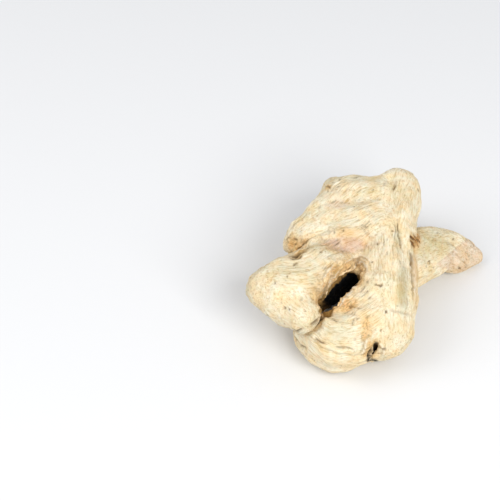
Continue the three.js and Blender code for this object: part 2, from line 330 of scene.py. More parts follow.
def net(field, step):
    """Corners, in millimetres, and four-sided faces of the net over the zero of a grid."""
    inside = field < 0
    shape = np.array(field.shape) - 1
    steps = np.array([(k & 1, k >> 1 & 1, k >> 2 & 1) for k in range(8)])
    ends = shape + steps
    filled = sum(inside[a:d, b:e, c:f].astype(np.int8) for (a, b, c), (d, e, f) in zip(steps, ends))
    cells = np.argwhere((filled > 0) & (filled < len(steps)))
    values = np.stack([field[tuple((cells + s).T)] for s in steps], 1)
    total = np.zeros((len(cells), 3))
    crossings = np.zeros(len(cells))
    for axis in range(3):
        for k in np.nonzero(steps[:, axis] == 0)[0]:
            one, other = values[:, k], values[:, k + (1 << axis)]
            crossed = (one < 0) != (other < 0)
            place = np.repeat(steps[k][None].astype(float), len(cells), 0)
            place[:, axis] = np.where(crossed, one / np.where(crossed, one - other, 1), 0)
            total += place * crossed[:, None]
            crossings += crossed
    corners = LOW + (cells + total / crossings[:, None]) * step
    number = np.full(field.shape, -1, np.int32)
    number[tuple(cells.T)] = np.arange(len(cells))
    faces = []
    ways = np.eye(3, dtype=int)
    for axis in range(3):
        ahead, next_way, last_way = ways[axis], ways[(axis + 1) % 3], ways[(axis + 2) % 3]
        near = [slice(0, n - 1) if i == axis else slice(1, n) for i, n in enumerate(field.shape)]
        far = [slice(1, None)] * 3
        start = np.argwhere(inside[tuple(near)] != inside[tuple(far)]) + 1 - ahead
        backs = (0 * ahead, next_way, next_way + last_way, last_way)
        ring = np.stack([number[tuple((start - back).T)] for back in backs], 1)
        turned = ~inside[tuple(start.T)]
        ring[turned] = ring[turned][:, ::-1]
        faces.append(ring)
    return corners, np.vstack(faces)


def corner_normals(corners, faces):
    """Each corner's outward unit vector: the sum of its faces' area vectors, made one long."""
    across = corners[faces[:, 2]] - corners[faces[:, 0]]
    back = corners[faces[:, 3]] - corners[faces[:, 1]]
    area = np.cross(across, back)
    normals = np.zeros_like(corners)
    for axis in range(3):
        normals[:, axis] = np.bincount(faces.ravel(), area[:, axis].repeat(4), len(corners))
    return normals / np.linalg.norm(normals, axis=1, keepdims=True)


STEP = COARSE / FINE
grid_count = np.ceil((HIGH - LOW) / STEP).astype(int)
grid = read_field(grid_count, STEP)
close_pinches(grid)
skin_corners, skin_faces = net(grid, STEP)


# The relief of the skin
# Ginger skin is thin bark over bast fibres. Dry, it shrinks into wrinkles along each finger, with slits
# between the fibres, small pits, and loose flakes where it is torn.
# A form of the grain has its length along a lobe and its width across it, heights too are millimetres,
# and a level is where a noise starts to show and where it shows in full.
WANDER = {"size": (15, 9), "reach": 1.4}
# A streak is lighter where a wrinkle or fibre stands higher and darker where it lies lower: the fibres' own
# tone, and painted shade in the hollows.
WRINKLES = {"size": (12, 2.6), "height": 0.1, "streak": 0.25}
SMALL_WRINKLES = {"size": (6, 1.3), "height": 0.12, "streak": 0.35}
FIBRES = {"size": (4, 0.8), "height": 0.1, "streak": 0.7}
# The dark of a slit, of a flake's drop and of a fine pit is painted shade in it.
SLITS = {"size": (3.2, 0.85), "level": (0.48, 0.7), "depth": 0.3, "dark": 0.55}
SLIT_AREAS = {"size": (12, 6), "level": (-0.05, 0.35)}
SHEETS = {"size": (17, 7), "reach": 1.1, "sideways": 0.24, "upwards": 0.17}
LOOSE_AREAS = {"size": (13, 6), "level": (0.05, 0.3)}
FLAKES = {"rise": 0.45, "top": 0.82, "drop": 0.07, "depth": 0.1, "dark": 0.35}

LUMPS = [
    {"size": 9, "seed": 101, "height": 0.35},
    {"size": 4.2, "seed": 102, "height": 0.15},
    {"size": 1.5, "seed": 103, "height": 0.1},
]
FINE_PITS = {"size": 1.7, "seed": 104, "level": (0.55, 0.8), "depth": 0.4, "dark": 0.8}
PITTED_AREAS = {"size": 9, "seed": 105, "level": (-0.05, 0.35)}
NOISE_GAIN = 1.7

# Where lobes meet, their grains mix. Each lobe has seeds of its own, its places lie far from the others',
# and its fibres show as straight where its share of the mix is large.
GRAIN_BLEND = 1.2
LEAST_SHARE = 0.02
LOBES_APART = 40
LOBE_SEEDS = 10
ALONE = (0.5, 0.8)


def noise(places, seed):
    """Gradient noise, about -1 to 1: slopes at whole-number corners come from a hash of the corner, and
    the corners' planes are mixed by six t to the fifth, less fifteen t to the fourth, and ten t cubed.
    The large primes scatter the corners, as they do in most hashes of a place."""
    base = np.floor(places).astype(np.int64)
    part = (places - base).astype(np.float32)
    mix = part**3 * (part * (part * 6 - 15) + 10)
    total = np.zeros(len(places), np.float32)
    for k in range(8):
        step = np.array([k & 1, k >> 1 & 1, k >> 2 & 1])
        corner = base + step
        key = corner[:, 0] * 73856093 ^ corner[:, 1] * 19349663 ^ corner[:, 2] * 83492791 ^ seed * 2654435
        key = (key ^ key >> 13) * 1274126177 & 0xFFFFFFFF
        key = key ^ key >> 16
        slope = np.stack([key & 255, key >> 8 & 255, key >> 16 & 255], 1) / 127.5 - 1
        weight = np.where(step, mix, 1 - mix).prod(1)
        total += weight * ((part - step) * slope).sum(1)
    return total * NOISE_GAIN


def skin_noise(form):
    """Noise at the skin's corners, of a form's size and seed."""
    return noise(skin_corners / form["size"], form["seed"])


def ramp(value, low, high):
    """A smooth rise from 0 at low to 1 at high."""
    t = np.clip((value - low) / (high - low), 0, 1)
    return t * t * (3 - 2 * t)


def bell(value, width):
    """The exponential of minus the square of a value over a width."""
    return np.exp(-((value / width) ** 2))


def grain_reliefs(along, sideways, upwards, seed):
    """Height, streak with painted shade in its hollows, and painted shade of the fibrous skin in a lobe's
    own
    straightened space: ridged noise for its wrinkles, long fine noise for its fibres, a saw of slow noise
    for its flakes, which rise and drop like shingles, and the peaks of other noises for its slits. The
    painted shade lies in the slits and on each flake's drop."""
    across = np.stack([sideways, upwards], 1)
    across = across + WANDER["reach"] * lobe_noise(along, across, WANDER, seed)[:, None]
    wrinkle = 1 - np.abs(lobe_noise(along, across, WRINKLES, seed + 1)) * 2
    small = 1 - np.abs(lobe_noise(along, across, SMALL_WRINKLES, seed + 2)) * 2
    fibre = lobe_noise(along, across, FIBRES, seed + 3)
    slit = ramp(lobe_noise(along, across, SLITS, seed + 4), *SLITS["level"])
    slit *= ramp(lobe_noise(along, across, SLIT_AREAS, seed + 5), *SLIT_AREAS["level"])
    sheet = SHEETS["sideways"] * sideways + SHEETS["upwards"] * upwards
    sheet = sheet + SHEETS["reach"] * lobe_noise(along, across, SHEETS, seed + 6)
    part = sheet - np.floor(sheet)
    loose = ramp(lobe_noise(along, across, LOOSE_AREAS, seed + 7), *LOOSE_AREAS["level"])
    drop = loose * np.maximum(bell(part, FLAKES["drop"]), bell(part - 1, FLAKES["drop"]))
    height = FLAKES["rise"] * loose * (part - ramp(part, FLAKES["top"], 1))
    height -= FLAKES["depth"] * drop + SLITS["depth"] * slit
    streak = 0
    for form, reading in ((WRINKLES, wrinkle), (SMALL_WRINKLES, small), (FIBRES, fibre)):
        height += form["height"] * reading
        streak = streak + form["streak"] * reading
    return height, streak, np.clip(SLITS["dark"] * slit + FLAKES["dark"] * drop, 0, 1)


def lobe_noise(along, across, form, seed):
    """Noise over a lobe's straightened space, over a form's length along it and its width across it."""
    length, width = form["size"]
    return noise(np.column_stack([along / length, across / width]), seed)


def grain_of(corners):
    """The grain of every lobe near a corner, mixed by how near it is, the nearest lobe's own
    straightened coordinates, and how far that lobe is the only one."""
    readings = []
    for seed, stations in enumerate(PATHS.values(), 1):
        least, (along, _, sideways, upwards), _ = read_lobe(corners.astype(np.float32), stations)
        readings.append((least, along, sideways, upwards, seed * LOBE_SEEDS))
    distances = np.stack([reading[0] for reading in readings])
    shares = np.exp(-(distances - distances.min(0)) / GRAIN_BLEND)
    shares /= shares.sum(0)
    mixed = np.zeros((3, len(corners)))
    straight = np.zeros((len(corners), 3))
    for share, (_, along, sideways, upwards, seed) in zip(shares, readings):
        near = share > LEAST_SHARE
        reliefs = grain_reliefs(along[near], sideways[near], upwards[near], seed)
        mixed[:, near] += share[near] * np.stack(reliefs)
        best = share == shares.max(0)
        straight[best] = np.column_stack([along + LOBES_APART * seed, sideways, upwards])[best]
    return mixed, straight, ramp(shares.max(0), *ALONE)


skin_normals = corner_normals(skin_corners, skin_faces)
(height, streak, dark), straight, single = grain_of(skin_corners)

for lump in LUMPS:
    height += lump["height"] * skin_noise(lump)
pits = ramp(skin_noise(FINE_PITS), *FINE_PITS["level"])
pits *= ramp(skin_noise(PITTED_AREAS), *PITTED_AREAS["level"])
height -= FINE_PITS["depth"] * pits
# Painted shade in the fine pits.
dark = np.maximum(dark, FINE_PITS["dark"] * pits)


# The marks of this one root
# Its cracks, pits, scar and flaps stand where the picture shows them. Each is a line or an oval of
# picture pixels, and it marks the skin that faces the camera there. Widths and depths are millimetres.
PIXEL_MM = 0.42
PICTURE_MIDDLE = PICTURE_PIXELS / 2
CAMERA_RIGHT = np.array([1, 0, 0])
CAMERA_UP = np.array([0, math.sin(ELEVATION), math.cos(ELEVATION)])
CAMERA_AHEAD = np.array([0, math.cos(ELEVATION), -math.sin(ELEVATION)])
FACING = (0.02, 0.2)
RAGGED = [{"size": 2.6, "seed": 201, "share": 1}, {"size": 1.1, "seed": 202, "share": 0.6}]
JITTER = {"size": 2.2, "seeds": (203, 204), "reach": 0.9}
LINE_END = 0.2

CRACK_END = 0.35
# Each crack and pit is carved and painted with shade in it; the lines along the left finger's lower end are
# painted shadow under its overhang.
CRACKS = [
    {"line": [(394.5, 222), (395.5, 230), (395, 240)], "width": 0.28, "depth": 0.5, "dark": 0.5},
    {"line": [(397, 220), (398.5, 235), (401, 244), (402.5, 252)], "width": 0.28, "depth": 0.6, "dark": 0.9},
    {"line": [(409.5, 235.5), (412, 238), (415, 240)], "width": 0.45, "depth": 0.8, "dark": 1},
    {"line": [(410.5, 239), (413, 243), (414.5, 248)], "width": 0.45, "depth": 0.8, "dark": 0.9},
    {"line": [(412, 233), (416, 238), (418, 243)], "width": 0.3, "depth": 0.5, "dark": 0.7},
    {"line": [(393.5, 190), (395.5, 184)], "width": 0.6, "depth": 0.8, "dark": 0.7},
    {"line": [(359, 227), (363, 225), (368, 228.5)], "width": 0.35, "depth": 0.5, "dark": 0.5},
    {"line": [(291, 329), (297, 330.5), (304, 328.5)], "width": 0.4, "depth": 0.8, "dark": 0.9},
    {"line": [(315, 337.5), (320, 341.5), (326, 344.5)], "width": 0.4, "depth": 0.8, "dark": 0.9},
    {"line": [(300, 345), (306.5, 349)], "width": 0.4, "depth": 0.7, "dark": 0.8},
    {"line": [(326, 316), (319, 320), (310, 327)], "width": 0.8, "depth": 0.9, "dark": 0.8},
    {"line": [(376, 343), (374, 348), (371, 352), (369, 357)], "width": 0.9, "depth": 1.6, "dark": 1},
    {"line": [(410, 251), (411, 260), (410.5, 268)], "width": 0.5, "depth": 0.8, "dark": 0.8},
    {"line": [(353, 178), (358, 177.5)], "width": 0.45, "depth": 0.6, "dark": 0.8},
    {"line": [(293, 237.5), (297, 240.5)], "width": 0.5, "depth": 0.7, "dark": 0.9},
    {"line": [(284, 251), (289, 254), (295, 255), (301, 252), (307, 248)], "width": 0.7, "depth": 1.4,
     "dark": 1},
    {"line": [(289, 257), (294, 258), (299, 257), (303, 254)], "width": 0.6, "depth": 1, "dark": 0.9},
    {"line": [(387, 309), (396, 311), (404, 313), (412, 315)], "width": 0.6, "depth": 0.6, "dark": 0.3},
    {"line": [(349, 187), (343, 195)], "width": 0.5, "depth": 0.4, "dark": 0.3},
    {"line": [(331, 318), (337, 323)], "width": 0.35, "depth": 0.6, "dark": 0.7},
    {"line": [(355, 318), (352, 326)], "width": 0.35, "depth": 0.5, "dark": 0.6},
]
PITS = [(328.5, 187), (327, 191.5), (330, 188.5), (367, 282), (366.5, 291), (367.5, 336), (288, 237),
        (295, 244), (384, 185), (337, 240), (343, 230), (377, 243), (372, 262), (369.5, 298), (301, 299),
        (275, 283), (354, 339)]
PIT = {"width": 0.55, "depth": 0.7, "dark": 0.9}
PIT_SLANT = (0.7, 0.4)

# A flap of bark stands up on one side of its line and drops within a short way on the other, with a
# pale painted highlight along the line and painted shade under it.
FLAPS = [
    {"line": [(408, 250), (411.5, 262), (412.5, 275), (413, 288), (414, 303)], "rise": 0.7, "reach": 3},
    {"line": [(349, 272), (356, 265), (363, 263), (367, 268), (366, 276)], "rise": 0.6, "reach": 2.5},
    {"line": [(342, 265), (352, 259), (363, 256), (371, 262), (372, 273)], "rise": 0.5, "reach": 2},
    {"line": [(354, 262), (361, 259), (367, 263), (368.5, 271)], "rise": 0.4, "reach": 1.5},
    {"line": [(340, 268), (332, 277), (325, 289), (321, 300)], "rise": 0.7, "reach": 3},
    {"line": [(334, 263), (327, 271), (322, 281)], "rise": 0.6, "reach": 2.5},
    {"line": [(360, 284), (352, 292), (344, 300), (336, 309)], "rise": 0.6, "reach": 3},
    {"line": [(322, 195), (308, 208), (296, 220), (288, 232)], "rise": 0.6, "reach": 3},
    {"line": [(367, 338), (364, 347), (360, 354)], "rise": 0.6, "reach": 2.5},
    {"line": [(380, 342), (383, 350), (381, 357)], "rise": 0.5, "reach": 2.5},
]
FLAP_DROP = 0.5
FULL_RISE = 0.6
FLAP_SHADE = {"off": 0.45, "width": 0.3, "share": 0.5}
FLAP_HIGHLIGHT = {"off": 0.2, "width": 0.4}
# The facet's ridge is a low flap, with the same painted highlight and shade.
FACET_RIDGE = {"line": [(440, 260), (452, 250), (464, 240)], "rise": 0.25, "reach": 3}

# The ovals of tints, stains and painted light and shade: how far a rim is soft and ragged, and how even the
# tint is.
SOFT = 0.6
RAGGED_RIM = 0.18
UNEVEN = 0.4
SCAR = {"middle": (348, 240), "half": (26, 13.5), "soft": 0.35, "depth": 0.35, "rosy": 0.15, "torn": 0.5}
SCAR_RIM = {"at": 0.5, "width": 0.2, "rise": 0.3}
SCAR_SHADE = {"at": 0.35, "width": 0.18, "share": 0.3}
SCAR_BASE = {"middle": (345, 245), "half": (25, 9), "soft": 0.4, "share": 0.9}
FAINT_DUST = {"size": 11, "seed": 205, "level": (0.05, 0.5), "share": 0.3}
DUST_AND_SHADE_SOFT = 0.9
DUST_AND_SHADE_EVEN = 0.7
# Ovals of grey-green lime dust, one of them painted shade.
DUST_AND_SHADE_SPOTS = [
    {"middle": (290, 272), "half": (32, 8), "share": 0.6},
    {"middle": (315, 284), "half": (12, 22), "share": 0.7},
    {"middle": (402, 290), "half": (7, 24), "share": 1.6},
    {"middle": (346, 322), "half": (8, 6), "share": 0.6},
    # Painted shade on the front bulb's top, under the left finger.
    {"middle": (338, 334), "half": (18, 14), "share": 0.75},
    {"middle": (394, 187), "half": (8, 9), "share": 0.7},
    {"middle": (396, 196), "half": (3, 16), "share": 0.5},
    {"middle": (398, 238), "half": (5, 14), "share": 0.8},
    {"middle": (430, 245), "half": (26, 18), "share": 1.2},
    {"middle": (370, 190), "half": (14, 7), "share": 0.6},
    {"middle": (350, 178), "half": (16, 6), "share": 0.4},
    {"middle": (300, 205), "half": (10, 20), "share": 0.5},
]
TORN = [
    {"middle": (296, 246), "half": (14, 12)},
    {"middle": (331, 285), "half": (9, 24)},
    {"middle": (356, 268), "half": (16, 12)},
    {"middle": (343, 304), "half": (20, 10)},
    {"middle": (370, 350), "half": (9, 11)},
    {"middle": (366, 330), "half": (6, 16)},
    {"middle": (328, 188), "half": (4, 4)},
]
ROSY = [
    {"middle": (342, 303), "half": (7, 5), "share": 0.5},
    {"middle": (337, 205), "half": (12, 5), "share": 0.5},
]
CUT_END = {"middle": (462, 256), "half": (28, 20), "soft": 0.2, "edge": 0.5, "share": 0.55}
# Painted light over the torn strips left of the hole, lightening the valley there.
PAINTED_LIGHT_STRIPS = {"middle": (325, 283), "half": (11, 20), "share": 0.5, "level": (-0.5, 0.5)}
# Painted shade down the right side of the right limb.
SHADED = {"middle": (403, 288), "half": (6, 26), "share": 0.22}
RUST_EVEN = 0.8
RUST_FACING = (-0.1, 0.1)
RUST = [
    {"middle": (415.5, 241), "half": (7, 9), "share": 1},
    {"middle": (414, 268), "half": (3.5, 24), "share": 0.6},
    {"middle": (416, 300), "half": (3, 16), "share": 0.5},
]

# The hole's painted shade, brown on its wall and black deeper in, starts and shows in full at these
# distances:
# behind the hole's line as the camera sees it, past its edge, beside the line, and, for its tip, in shares
# of its length.
HOLE_WALL = {"level": (-1.5, -0.2), "ragged": 0}
HOLE_EDGE = {"level": (0.1, 0.8), "ragged": 0.3}
HOLE_SHADOW = {"level": (1.6, 2.6), "ragged": 1.2}
HOLE_SIDE = {"level": (4.4, 5.8), "ragged": 0.6}
HOLE_TIP = {"level": (-0.05, 0.2), "ragged": 0.05}
# The pocket at the hole's lower end is carved and painted with the wall's brown shade, not black.
POCKET = {"middle": (326.5, 310.5), "half": (7, 6), "soft": 0.35, "depth": 1.2}
POCKET_DEEP = {"level": (4, 8), "ragged": 0}
# The fissure is painted black as shadow, and so are its lower end and the notch it cuts in the outline under
# the front bulb.
FISSURE_SHADOW = {"level": (0.2, 1), "ragged": 0.5}
FISSURE_ENDS = [[(374.5, 348), (372, 352.5), (369, 357.5)], [(367.5, 360.5), (370.5, 359), (376.5, 360.5)]]
FISSURE_WIDTH = 0.6

# The bark torn round the hole breaks in steps, which have lines of painted shade between them, and is rough.
TORN_REACH = {"from": 0.5, "width": 2.6}
TORN_STEPS = {"size": 3, "seed": 106, "count": 2.6, "height": 0.4, "riser": (0.75, 1),
              "line": 0.12, "dark": 0.5}
TORN_ROUGH = {"size": 1.4, "seed": 107, "height": 0.4}
TORN_GAPS = {"level": (0.4, 0.9), "depth": 0.2}
RESTING = (0.3, 2)


def picture_places(corners):
    """Where corners stand in the picture, in its pixels, and how far they are from the camera."""
    offset = corners * MM - np.array(camera.location)
    depth = offset @ CAMERA_AHEAD
    across = PICTURE_MIDDLE + FOCAL_PIXELS * (offset @ CAMERA_RIGHT) / depth
    down = PICTURE_MIDDLE - FOCAL_PIXELS * (offset @ CAMERA_UP) / depth
    return np.column_stack([across, down]), depth


def line_reading(places, line):
    """The distance in millimetres to a line of picture pixels, which side of it a place is on, and how
    much of it is left to its nearer end, up to one."""
    least = np.full(len(places), FAR)
    side = np.zeros(len(places))
    end_left = np.zeros(len(places))
    points = np.array(line, float)
    lengths = np.linalg.norm(np.diff(points, axis=0), axis=1)
    starts = np.concatenate([[0], np.cumsum(lengths)])
    for i, (start, end) in enumerate(zip(points, points[1:])):
        way = (end - start) / lengths[i]
        offset = places - start
        stand = np.clip(offset @ way, 0, lengths[i])
        distance = np.linalg.norm(offset - stand[:, None] * way, axis=1)
        nearer = distance < least
        least[nearer] = distance[nearer]
        side[nearer] = (offset[:, 0] * way[1] - offset[:, 1] * way[0])[nearer]
        along = starts[i] + stand
        left = np.minimum(along, starts[-1] - along) / (LINE_END * starts[-1])
        end_left[nearer] = left[nearer]
    return least * PIXEL_MM, side * PIXEL_MM, np.clip(end_left, 0, 1)


def patch(places, spot, soft=SOFT):
    """One inside an oval of the picture, falling to nothing across a ragged rim."""
    off = (places - np.array(spot["middle"])) / np.array(spot["half"])
    return 1 - ramp(np.linalg.norm(off, axis=1) + RAGGED_RIM * ragged, 1 - soft, 1 + soft / 2)


def ragged_ramp(value, zone):
    """A smooth rise over a zone whose bounds waver."""
    return ramp(value + zone["ragged"] * ragged, *zone["level"])


seen, from_camera = picture_places(skin_corners)
facing = ramp(-(skin_normals @ CAMERA_AHEAD), *FACING)
ragged = sum(form["share"] * skin_noise(form) for form in RAGGED)
jitter = np.column_stack([noise(skin_corners / JITTER["size"], seed) for seed in JITTER["seeds"]])
marked = seen + JITTER["reach"] * jitter

# Painted shade in the cracks and pits.
for crack in CRACKS + [{"line": [pit, np.add(pit, PIT_SLANT)], **PIT} for pit in PITS]:
    away, _, left = line_reading(marked, crack["line"])
    mark = bell(away, crack["width"]) * facing * np.maximum(ramp(left, 0, 1), CRACK_END)
    height -= crack["depth"] * mark
    dark = np.maximum(dark, crack["dark"] * mark)

# Painted highlight: the torn strips left of the hole are painted lighter against the valley's shade.
lip = PAINTED_LIGHT_STRIPS["share"] * patch(seen, PAINTED_LIGHT_STRIPS) * facing * ramp(ragged, *PAINTED_LIGHT_STRIPS["level"])
# Each flap, and the facet's ridge, rises with a painted highlight along its line and painted shade under it.
for flap in FLAPS + [FACET_RIDGE]:
    away, side, left = line_reading(marked, flap["line"])
    on_top, below = np.where(side > 0, away, FAR), np.where(side > 0, FAR, away)
    sheet = (1 - ramp(on_top, 0, flap["reach"])) + (1 - ramp(below, 0, FLAP_DROP))
    height += flap["rise"] * sheet * left * facing
    edge = flap["rise"] / FULL_RISE * left * facing
    shade = FLAP_SHADE["share"] * edge * bell(below - FLAP_SHADE["off"], FLAP_SHADE["width"])
    dark = np.maximum(dark, shade)
    lip = np.maximum(lip, edge * bell(on_top - FLAP_HIGHLIGHT["off"], FLAP_HIGHLIGHT["width"]))
# Painted shade down the right side of the right limb.
dark = np.maximum(dark, SHADED["share"] * patch(seen, SHADED) * facing)

scar = patch(seen, SCAR, SCAR["soft"]) * facing
scar_base = patch(seen, SCAR_BASE, SCAR_BASE["soft"]) * facing * (SCAR_BASE["share"] + UNEVEN * ragged)
rosy = np.maximum(SCAR["rosy"] * scar, scar_base)
height += SCAR_RIM["rise"] * bell(scar - SCAR_RIM["at"], SCAR_RIM["width"]) - SCAR["depth"] * scar
dark = np.maximum(dark, SCAR_SHADE["share"] * bell(scar - SCAR_SHADE["at"], SCAR_SHADE["width"]))
for spot in ROSY:
    rosy = np.maximum(rosy, spot["share"] * patch(seen, spot) * facing)
past_ridge = -line_reading(seen, FACET_RIDGE["line"])[1]
cut_end = patch(seen, CUT_END, CUT_END["soft"]) * facing * ramp(past_ridge, 0, CUT_END["edge"])
rosy = np.maximum(rosy, CUT_END["share"] * cut_end)
# Dust, and in one spot painted shade on the front bulb's top under the left finger.
dust = FAINT_DUST["share"] * ramp(skin_noise(FAINT_DUST), *FAINT_DUST["level"])
for spot in DUST_AND_SHADE_SPOTS:
    spot_grey = patch(seen, spot, DUST_AND_SHADE_SOFT) * facing * (DUST_AND_SHADE_EVEN + UNEVEN * ragged)
    dust = np.maximum(dust, spot["share"] * spot_grey)
dust = np.clip(dust - scar - cut_end, 0, 1)
to_hole = hole_distance(skin_corners)
torn = bell(np.maximum(to_hole - TORN_REACH["from"], 0), TORN_REACH["width"])
for spot in TORN:
    torn = np.maximum(torn, patch(seen, spot) * facing)
rust = np.zeros(len(skin_corners))
for spot in RUST:
    rust = np.maximum(rust, spot["share"] * patch(seen, spot) * (RUST_EVEN + UNEVEN * ragged))
rust *= ramp(-(skin_normals @ CAMERA_AHEAD), *RUST_FACING)

# Painted shade in the hole: black on the skin that the camera sees behind the hole's line, brown on its
# walls and in the carved pocket.
hole_line = HOLE[1] - HOLE[0]
line_seen = hole_line - (hole_line @ CAMERA_AHEAD) * CAMERA_AHEAD
share_of_hole = (skin_corners - HOLE[0]) @ line_seen / (line_seen @ line_seen)
from_line = skin_corners - HOLE[0] - np.clip(share_of_hole, 0, 1)[:, None] * hole_line
behind = from_line @ CAMERA_AHEAD
beside = np.linalg.norm(from_line - behind[:, None] * CAMERA_AHEAD, axis=1)
in_hole = 1 - ragged_ramp(beside, HOLE_SIDE)
deep = ragged_ramp(behind, HOLE_SHADOW) * in_hole * ragged_ramp(share_of_hole, HOLE_TIP)
wall = ragged_ramp(behind, HOLE_WALL) * (1 - ragged_ramp(to_hole, HOLE_EDGE))
pocket = patch(seen, POCKET, POCKET["soft"]) * (1 - ragged_ramp(behind, POCKET_DEEP))
deep *= 1 - pocket
wall = np.maximum(wall, pocket)
height -= POCKET["depth"] * pocket * facing
# Painted shadow: black in the fissure, at its end and in the notch under the front bulb.
fissure = GROOVES[0]
to_fissure = path_distance(skin_corners, fissure["path"], fissure["lean"])
deep = np.maximum(deep, 1 - ragged_ramp(to_fissure, FISSURE_SHADOW))
for line in FISSURE_ENDS:
    deep = np.maximum(deep, bell(line_reading(marked, line)[0], FISSURE_WIDTH) * facing)

steps = skin_noise(TORN_STEPS) * TORN_STEPS["count"]
terraces = TORN_STEPS["height"] * (np.floor(steps) + ramp(steps - np.floor(steps), *TORN_STEPS["riser"]))
rough = TORN_ROUGH["height"] * skin_noise(TORN_ROUGH)
height += torn * (terraces + rough - TORN_GAPS["depth"] * ramp(ragged, *TORN_GAPS["level"]))
# Lines of painted shade between the torn steps.
step_lines = bell(steps - np.round(steps), TORN_STEPS["line"])
dark = np.maximum(dark, TORN_STEPS["dark"] * torn * step_lines)
torn = np.maximum(torn, SCAR["torn"] * (scar - rosy))
resting = ramp(skin_corners[:, 2], *RESTING)
skin_corners = skin_corners + skin_normals * (height * resting)[:, None]
skin_corners[:, 2] = np.maximum(skin_corners[:, 2], 0)


def make_mesh(name, corners, faces):
    """A smooth mesh object of four-sided faces, from millimetres."""
    mesh = bpy.data.meshes.new(name)
    mesh.vertices.add(len(corners))
    mesh.vertices.foreach_set("co", (corners * MM).ravel())
    mesh.loops.add(faces.size)
    mesh.loops.foreach_set("vertex_index", faces.ravel())
    mesh.polygons.add(len(faces))
    mesh.polygons.foreach_set("loop_start", np.arange(len(faces)) * 4)
    mesh.polygons.foreach_set("use_smooth", np.ones(len(faces), bool))
    mesh.update(calc_edges=True)
    mesh.validate()
    made = bpy.data.objects.new(name, mesh)
    bpy.context.scene.collection.objects.link(made)
    return made


def keep(mesh, name, values):
    """Stores one number for each corner of a mesh, for its material to read."""
    attribute = mesh.attributes.new(name, "FLOAT", "POINT")
    attribute.data.foreach_set("value", np.clip(values, 0, 1).astype(np.float32))


SAME_LOBE = 3
root = make_mesh("rhizome", skin_corners, skin_faces)
SKIN_READINGS = {
    "streak": 0.5 + 0.5 * streak, "dust": dust, "torn": torn, "rosy": rosy, "rust": rust,
    "lip": lip, "dark": dark, "wall": wall, "deep": deep, "single": single,
}
for name, values in SKIN_READINGS.items():
    keep(root.data, name, values)
# The grain's places on two lobes are far from each other. In a face across both, a corner that isn't on
# the first corner's lobe takes the first corner's place.
face_straight = straight[skin_faces[:, 0]].repeat(4, 0)
for k in range(4):
    same = np.abs(straight[skin_faces[:, k]] - straight[skin_faces[:, 0]]).max(1) < SAME_LOBE
    face_straight[k::4][same] = straight[skin_faces[same, k]]
grain = root.data.attributes.new("grain", "FLOAT_VECTOR", "CORNER")
grain.data.foreach_set("vector", face_straight.astype(np.float32).ravel())
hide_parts("ginger_root")
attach(root, "root")


# The skin's material
# Sun-dried ginger skin dusted with lime is dull and chalky: cream-coloured with fine darker fibres along
# each lobe, warm and cool clouds, and brown grit. The real fibres and grit are finer, and are drawn as
# coarse as they need to be to show in the picture.
# The skin goes from the darker colour to the lighter one with its streaks: the fibres' own tone, and painted
# shade in the wrinkles' hollows.
SKIN_LIGHT = "#fff9e2"
SKIN_SHADE = "#f7e6c4"

# Sizes and heights are millimetres, and a fibre has its length and its two widths. A wash shows where its
# pattern is past the first bound, and in full at the second.
PATTERNS = {
    "wander": {"size": 6.25, "Detail": 2},
    "matted": {"size": 0.91, "Detail": 5, "Roughness": 0.7},
    "clouds": {"size": 5.26, "Detail": 4},
    "blush": {"size": 2.08, "Detail": 3},
    "grit": {"size": 1.11, "Detail": 3, "Roughness": 0.7},
}
LONG_FIBRE = {"size": (5, 0.5, 0.5), "wander": (1.5, 1.5, 1.5), "Detail": 5, "Roughness": 0.7}
WASHES = [
    {"pattern": "clouds", "bounds": (0.4, 0.62), "share": 1, "tint": "#fef2de"},
    {"pattern": "fibres", "bounds": (0.52, 0.38), "share": 0.72, "tint": "#dac8a4"},
    {"pattern": "grit", "bounds": (0.4, 0.3), "share": 0.6, "tint": "#bda583"},
    {"pattern": "blush", "bounds": (0.5, 0.62), "share": 0.28, "tint": "#fae3d0"},
    {"pattern": "blush", "bounds": (0.5, 0.38), "share": 0.28, "tint": "#edf1e2"},
]
BUMPS = [
    {"pattern": "fibres", "height": 1.1, "strength": 0.8},
    {"pattern": "grit", "height": 0.5, "strength": 0.6},
]
SKIN_ROUGHNESS = 0.92
DRY_SPECULAR = 0.25

COLOUR_MIX = {"data_type": "RGBA"}
MULTIPLY = {"data_type": "RGBA", "blend_type": "MULTIPLY"}

# What is kept on the skin tints it in this order, each over the ones before. The dust's grey is painted
# shade in one spot, the pale cream is a painted highlight, the dark brown is painted shade in cracks, pits
# and under flaps, the wall's brown is painted shade in the hole, and the black is painted shadow in the hole
# and fissure.
SKIN_TINTS = {
    "dust": (MULTIPLY, "#e2e4d8"),
    "torn": (MULTIPLY, "#fde8cb"),
    "rosy": (MULTIPLY, "#e6d4d6"),
    "lip": (COLOUR_MIX, "#fff3d8"),
    "rust": (COLOUR_MIX, "#d8ac70"),
    "dark": (COLOUR_MIX, "#765c3a"),
    "wall": (MULTIPLY, "#ad9d78"),
    "deep": (COLOUR_MIX, "#0a0b0e"),
}


def linear(code):
    """A hex colour of the screen as linear red, green and blue."""
    parts = [int(code[i : i + 2], 16) / 255 for i in (1, 3, 5)]
    return [c / 12.92 if c <= 0.04045 else ((c + 0.055) / 1.055) ** 2.4 for c in parts] + [1]


def add_node(tree, kind, settings, inputs):
    """Adds a node with its settings, and fills its inputs with values or links."""
    made = tree.nodes.new(kind)
    for name, value in settings.items():
        setattr(made, name, value)
    for name, value in inputs.items():
        if isinstance(value, bpy.types.NodeSocket):
            tree.links.new(value, made.inputs[name])
        else:
            made.inputs[name].default_value = value
    return made


